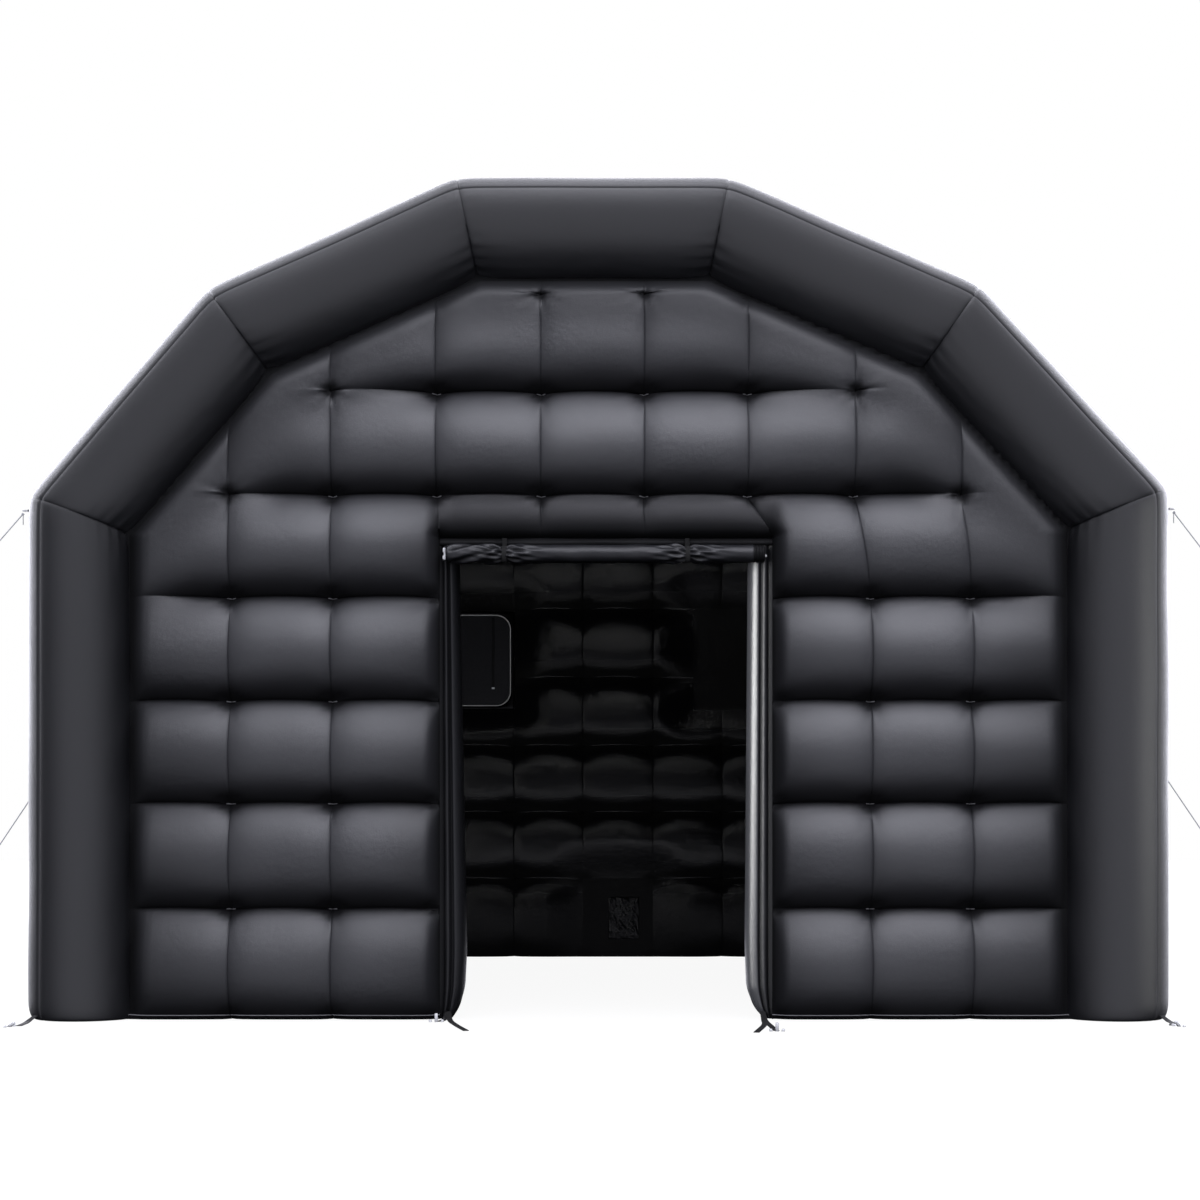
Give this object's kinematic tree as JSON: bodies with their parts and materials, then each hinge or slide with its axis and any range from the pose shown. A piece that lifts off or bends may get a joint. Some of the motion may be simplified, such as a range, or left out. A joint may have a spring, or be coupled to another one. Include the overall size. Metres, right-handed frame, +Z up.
{
  "type": "inflatable party tent",
  "caption": "Black inflatable party tent: two inflated arches with quilted puffed walls and roof, and a doorway with its flap rolled up.",
  "frame": {"origin": "on the ground under the middle of the tent and its ground anchors, the guy ropes left out", "axes": "+Z up; the doorway faces -Y; +X to the right of a person who looks at the doorway"},
  "size_m": [5.5604, 5.9062, 3.683],
  "materials": {
    "coated_cloth": "black coated polyester, satin outside and glossier inside",
    "webbing": "matte black woven webbing",
    "mesh_cloth": "fine dark netting",
    "white_plastic": "white moulded plastic, satin",
    "rope_yarn": "light grey braided rope, matte"
  },
  "bodies": {
    "root": {"front_post_left": "coated_cloth", "front_haunch_left": "coated_cloth", "front_slope_left": "coated_cloth", "front_crown": "coated_cloth", "front_slope_right": "coated_cloth", "front_haunch_right": "coated_cloth", "front_post_right": "coated_cloth", "rear_post_left": "coated_cloth", "rear_haunch_left": "coated_cloth", "rear_slope_left": "coated_cloth", "rear_crown": "coated_cloth", "rear_slope_right": "coated_cloth", "rear_haunch_right": "coated_cloth", "rear_post_right": "coated_cloth", "side_wall_left": "coated_cloth", "roof_haunch_left": "coated_cloth", "roof_slope_left": "coated_cloth", "roof_crown": "coated_cloth", "roof_slope_right": "coated_cloth", "roof_haunch_right": "coated_cloth", "side_wall_right": "coated_cloth", "front_wall_left": "coated_cloth", "front_wall_head": "coated_cloth", "front_wall_right": "coated_cloth", "back_wall_base": "coated_cloth", "back_wall_left": "coated_cloth", "back_wall_right": "coated_cloth", "back_wall_head": "coated_cloth", "door_jamb_left": "coated_cloth", "door_jamb_right": "coated_cloth", "door_header": "coated_cloth", "door_roll": "coated_cloth", "door_roll_tie_left": "webbing", "door_roll_tie_right": "webbing", "door_roll_clip": "white_plastic", "back_window_binding": "coated_cloth", "back_window_mesh": "mesh_cloth", "back_window_strap": "webbing", "sleeve_patch": "coated_cloth", "guy_tab_upper_left": "webbing", "guy_rope_upper_left": "rope_yarn", "guy_tab_upper_right": "webbing", "guy_rope_upper_right": "rope_yarn", "guy_tab_lower_left": "webbing", "guy_rope_lower_left": "rope_yarn", "guy_tab_lower_right": "webbing", "guy_rope_lower_right": "rope_yarn", "anchor_strap_front_left": "webbing", "anchor_peg_front_left": "white_plastic", "anchor_strap_front_right": "webbing", "anchor_peg_front_right": "white_plastic", "anchor_strap_door_left": "webbing", "anchor_peg_door_left": "white_plastic", "anchor_strap_door_right": "webbing", "anchor_peg_door_right": "white_plastic", "anchor_strap_rear_left": "webbing", "anchor_peg_rear_left": "white_plastic", "anchor_strap_rear_right": "webbing", "anchor_peg_rear_right": "white_plastic"}
  },
  "joints": []
}
